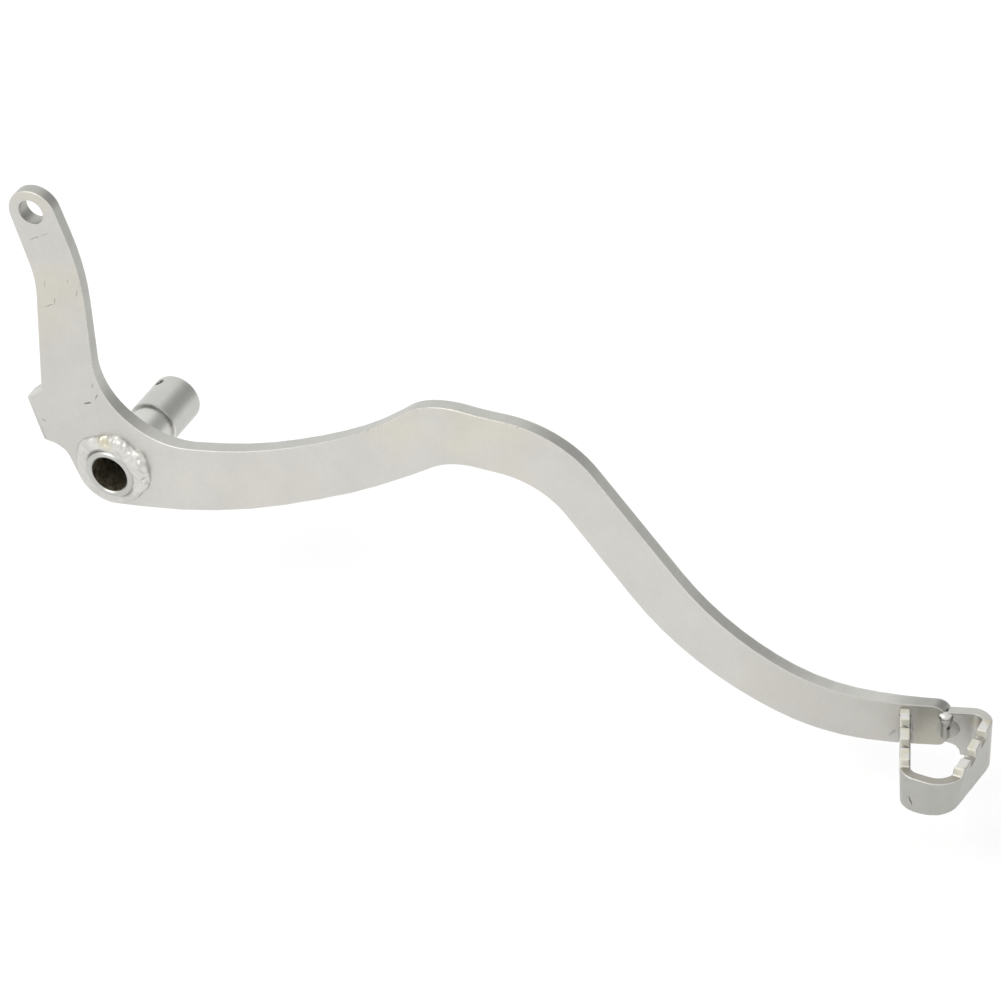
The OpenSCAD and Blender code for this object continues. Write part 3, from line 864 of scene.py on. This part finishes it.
weldLook = {
    "base": (0.60, 0.592, 0.562), "pale": (0.60, 0.57, 0.455), "plate": (0.562, 0.553, 0.526),
    "tread": (0.46, 0.455, 0.42), "plateShare": 0.85, "treadShare": 0.9,
    "roughness": 0.38, "roughSwing": 0.25, "treadRough": 0.16,
    # painted shadow: the dark line between the bead and the tube
    "byTube": (8.3, 9.3), "creviceShadowTone": 0.75, "upperLeftTone": 0.8, "lowerRightTone": 0.6,
    "upperLeft": {"location": (-6.5, -4, 6.5), "size": (7, 9, 5.5), "turn": 45, "soft": 0.6},
    "lowerRight": {"location": (6, -4, -6), "size": (7, 9, 5), "turn": 45, "soft": 0.6},
    "paleSpot": {"location": (-1.8, -4.5, 11.0), "size": (4.5, 4, 2.8), "turn": 10, "soft": 0.8},
    "paleWobble": (2, 1.5),
    "pore": {"location": (266.6, 20.4, -23.2), "size": (0.6, 1.6, 0.7), "turn": 0, "soft": 0.5},
    "poreWobble": (0.8, 0.5), "poreTone": 0.8,
    "lumps": {"size": 2.4, "detail": 3, "rough": 0.55}, "lumpTone": 0.5, "lumpHeight": 0.25,
    "seams": {"size": 1.1, "detail": 2, "rough": 0.6, "kind": "RIDGED_MULTIFRACTAL"},
    "seamRange": (0.95, 1.35), "seamTone": 0.08,
    "grain": {"size": 0.5, "detail": 2}, "grainHeight": 0.05, "bump": 0.8,
    # the low left of the bead is ground smooth and matches the plate
    "groundWay": (0.6, 0.8), "ground": (-3.5, 3.5), "groundAlong": (60, 80),
    # the weld up the tread's seam is calm and matches the tread
    "treadAlong": (200, 220), "treadHeight": (-20.6, -19.8), "calm": 0.85,
}


def weldFinish():
    material = bpy.data.materials.new("weld_metal")
    finish = Finish(material)
    look = weldLook
    at = finish.place()
    height, along = finish.split(at, "Z") / mm, finish.split(at, "X") / mm
    # painted shadow in the crevice between the bead and the tube, at its upper left and lower right
    creviceShadow = look["upperLeftTone"] * finish.spot(at, **look["upperLeft"])
    creviceShadow = creviceShadow + look["lowerRightTone"] * finish.spot(at, **look["lowerRight"])
    creviceShadow = creviceShadow * finish.fade(finish.fromAxis(at), *look["byTube"])
    pale = finish.spot(finish.wobble(at, *look["paleWobble"]), **look["paleSpot"])
    pore = finish.spot(finish.wobble(at, *look["poreWobble"]), **look["pore"])
    lumps = finish.cloud(at, **look["lumps"])
    seams = finish.ramp(finish.cloud(at, **look["seams"]), *look["seamRange"])
    tone = 1 + look["lumpTone"] * (lumps - 0.5) + look["seamTone"] * seams
    tone = (tone - look["creviceShadowTone"] * creviceShadow) * (1 - look["poreTone"] * pore)
    forward, upward = look["groundWay"]
    ground = finish.fade(forward * along + upward * height, *look["ground"])
    ground = ground * finish.fade(along, *look["groundAlong"])
    treadSide = finish.ramp(along, *look["treadAlong"]) * finish.fade(height, *look["treadHeight"])
    colour = finish.mix(pale, shade(*look["base"]), shade(*look["pale"]))
    colour = finish.mix(look["plateShare"] * ground, colour, shade(*look["plate"]))
    colour = finish.mix(look["treadShare"] * treadSide, colour, shade(*look["tread"]))
    relief = look["lumpHeight"] * lumps + look["grainHeight"] * finish.cloud(at, **look["grain"])
    relief = relief * (1 - look["calm"] * treadSide)
    rough = look["roughness"] + look["roughSwing"] * (lumps - 0.5) + look["treadRough"] * treadSide
    finishSurface(finish, finish.times(colour, tone), rough, finish.bump(relief, look["bump"]))
    return material


treadLook = {
    "base": (0.405, 0.402, 0.377), "tooth": (0.60, 0.595, 0.57), "cream": (0.58, 0.555, 0.44),
    # painted light: tooth faces that look outward are paler
    "near": (0.66, 0.64, 0.56),          # tooth faces that look outward
    "brown": (0.36, 0.31, 0.22), "brownShare": 0.5, "noseBrown": 0.5,
    "roughness": 0.42, "roughSwing": 0.12, "bump": 0.9, "patch": 8, "toothMetal": 0.4,
    # where the teeth are: up, out and along, with the run between the two legs left out
    "toothHeight": (-20.0, -19.2), "toothOut": (-6.2, -5.4, 22.2, 22.9),
    "betweenLegs": (264.6, 265.2, 276.2, 277.0), "toothSide": (0.45, 0.8), "litNearFace": (0.5, 0.85),
    "wear": {"size": 2.6, "detail": 3, "rough": 0.6}, "wearRange": (0.42, 0.62),
    "scuff": {"size": 0.9, "detail": 3, "rough": 0.7}, "scuffRange": (0.58, 0.72), "scuffTone": 0.08,
    # painted shade: dark lines in the gaps between the teeth
    "gaps": [(256.3, 11.9, -19.9), (260.2, 3.4, -19.9), (278.4, 16.9, -19.9), (279.3, 7.3, -19.9)],
    "gapSize": (2.2, 0.6, 0.8), "gapSoft": 0.7, "gapShadeTone": 0.6,
    # the nose: its top is darker, and its front rim paler with a painted highlight
    "noseOut": (-1.5, 0.5), "noseHeight": (-21.2, -20.6), "noseTop": (0.9, 0.98), "noseTopTone": 0.10,
    "rimUp": (0.2, 0.5, 0.85, 0.98), "rimOut": (0.15, 0.4), "rimHighlightTone": 0.35,
    # painted light on the tread's wall toward the welded end
    "litWallOut": (19, 22), "seamTone": 0.20,          # paler toward the welded end
    "strokes": [(266.5, -26.9, 267.8, -29.8, 0.42, 0.9, -8.95)],
    "strokeWobble": (1.2, 0.7), "strokeTone": 0.8,
    # brown stains: place and half size
    "stains": [
        ((274.5, 24.2, -20.5), (4.5, 2.5, 3.0)), ((278.5, 21.5, -17.5), (2.6, 3.4, 1.6)),
        ((268.5, -5.0, -19.7), (4.5, 2.5, 1.0)),
    ],
    "stainSoft": 0.9, "stainWobble": (2.0, 1.8),
}


def treadFinish():
    material = bpy.data.materials.new("tread_worn_steel")
    finish = Finish(material)
    look = treadLook
    at, normal = finish.place(), finish.facing()
    along, out, height = (finish.split(at, axis) / mm for axis in "XYZ")
    across, upward = finish.split(normal, "X"), finish.split(normal, "Z")
    toward = 0 - finish.split(normal, "Y")
    teeth = finish.ramp(height, *look["toothHeight"]) * finish.band(out, *look["toothOut"])
    teeth = teeth * (1 - finish.band(along, *look["betweenLegs"]))
    teeth = teeth * finish.fade(across.most(0 - across), *look["toothSide"])
    # painted shade in the gaps between the teeth
    gapShade = highest([finish.spot(at, place, look["gapSize"], 0, look["gapSoft"]) for place in look["gaps"]])
    nose = finish.fade(out, *look["noseOut"]) * finish.ramp(height, *look["noseHeight"]) * (1 - teeth)
    # painted highlight along the nose's front rim
    noseRimHighlight = nose * finish.band(upward, *look["rimUp"]) * finish.ramp(toward, *look["rimOut"])
    noseTop = nose * finish.ramp(upward, *look["noseTop"])
    wear = finish.cloud(at, **look["wear"])
    creamy = finish.ramp(wear, *look["wearRange"])
    toothColour = finish.mix(creamy, shade(*look["tooth"]), shade(*look["cream"]))
    # painted light: tooth faces that look outward are paler
    toothColour = finish.mix(finish.ramp(toward, *look["litNearFace"]), toothColour, shade(*look["near"]))
    shaken = finish.wobble(at, *look["stainWobble"])
    stained = highest([
        finish.spot(shaken, place, half, 0, look["stainSoft"]) for place, half in look["stains"]])
    brown = look["brownShare"] * stained.most(look["noseBrown"] * noseTop)
    colour = finish.mix(teeth, shade(*look["base"]), toothColour)
    colour = finish.mix(brown, colour, shade(*look["brown"]))
    marks = strokeMarks(finish, finish.wobble(at, *look["strokeWobble"]), look["strokes"])
    scuff = finish.ramp(finish.cloud(at, **look["scuff"]), *look["scuffRange"])
    tone = satin(finish, at, look["patch"]) - look["scuffTone"] * scuff
    tone = tone + look["rimHighlightTone"] * noseRimHighlight - look["noseTopTone"] * noseTop
    # painted light on the tread's wall toward the welded end
    tone = tone + look["seamTone"] * finish.ramp(out, *look["litWallOut"]) * (1 - teeth)
    tone = tone * (1 - look["strokeTone"] * marks) * (1 - look["gapShadeTone"] * gapShade)
    rough = look["roughness"] + look["roughSwing"] * (wear - 0.5)
    metal = 1 - (1 - look["toothMetal"]) * teeth
    finishSurface(finish, finish.times(colour, tone), rough, satinBump(finish, at, look["bump"]), metal)
    return material


plateSteel = plateFinish()
tubeSteel = tubeFinish()
treadSteel = treadFinish()
weldMetal = weldFinish()

dress(plate, plateSteel, "plate_steel", "rod_arm", "lever_arm")
dress(tube, tubeSteel, "tube_steel", "pivot_tube")
dress(outerBead, weldMetal, "weld_metal", "pivot_weld_outer")
dress(innerBead, weldMetal, "weld_metal", "pivot_weld_inner")
dress(tread, treadSteel, "tread_steel", "tread_loop")
dress(endWeld, weldMetal, "weld_metal", "tread_end_weld")
dress(legWeld, weldMetal, "weld_metal", "tread_leg_weld")
print("finishes")


# floor, light and camera

studio = {
    "floorDrop": 25,       # floor below the lowest point
    "floorSize": 6000, "floorShade": 0.96, "floorRough": 0.9,
    "world": 1.1,
    "duskFrom": (0.5, 0.72, 0.45), "dusk": 0.66, "duskWide": (0.78, 0.97),   # dimmer part of the room
    "keyPower": 14, "keySize": 1300, "keyFrom": (-900, -1500, 1500), "keyTo": (100, 0, 0),
}


def makeFloor():
    pickNothing()
    lowest = cadBox[0][2] - studio["floorDrop"] * mm
    bpy.ops.mesh.primitive_plane_add(size=studio["floorSize"] * mm, location=(0, 0, lowest))
    floor = bpy.context.object
    floor.name = "floor"
    material = bpy.data.materials.new("pale_floor")
    finish = Finish(material)
    surface = finish.add("ShaderNodeBsdfPrincipled", inputs={
        "Base Color": shade(studio["floorShade"]), "Roughness": studio["floorRough"],
    })
    finish.add("ShaderNodeOutputMaterial", inputs={"Surface": surface})
    floor.data.materials.append(material)


def makeKeyLight():
    pickNothing()
    source = Vector(studio["keyFrom"])
    bpy.ops.object.light_add(type="AREA", location=source * mm)
    light = bpy.context.object
    light.name = "key"
    light.data.energy = studio["keyPower"]
    light.data.size = studio["keySize"] * mm
    light.rotation_euler = (Vector(studio["keyTo"]) - source).to_track_quat("-Z", "Y").to_euler()


def makeWorld():
    world = bpy.data.worlds.new("studio")
    bpy.context.scene.world = world
    finish = Finish(world)
    toward = Vector(studio["duskFrom"]).normalized()
    nearness = finish.add("ShaderNodeVectorMath", {"operation": "DOT_PRODUCT"}, {
        0: finish.add("ShaderNodeTexCoord", output="Generated"), 1: toward,
    }, output="Value")
    strength = studio["world"] - studio["dusk"] * finish.ramp(nearness, *studio["duskWide"])
    light = finish.add("ShaderNodeBackground", inputs={"Color": shade(1), "Strength": strength})
    finish.add("ShaderNodeOutputWorld", inputs={"Surface": light})


cameraMake = {
    "target": (109.13, 42.40, -6.12), "distance": 2000,
    "azimuth": 25.94, "elevation": 37.32, "lens": 236.64, "sensor": 36, "clipEnd": 20000,
}


def makeCamera():
    azimuth = math.radians(cameraMake["azimuth"])
    elevation = math.radians(cameraMake["elevation"])
    back = Vector((
        math.sin(azimuth) * math.cos(elevation),
        -math.cos(azimuth) * math.cos(elevation),
        math.sin(elevation),
    ))
    bpy.ops.object.camera_add(
        location=(Vector(cameraMake["target"]) + back * cameraMake["distance"]) * mm,
        rotation=(math.pi / 2 - elevation, 0, azimuth),
    )
    camera = bpy.context.object
    camera.data.lens = cameraMake["lens"]
    camera.data.sensor_width = cameraMake["sensor"]
    camera.data.clip_end = cameraMake["clipEnd"] * mm
    bpy.context.scene.camera = camera


makeFloor()
makeWorld()
makeKeyLight()
makeCamera()
bpy.context.scene.view_settings.view_transform = "Standard"
print("studio")
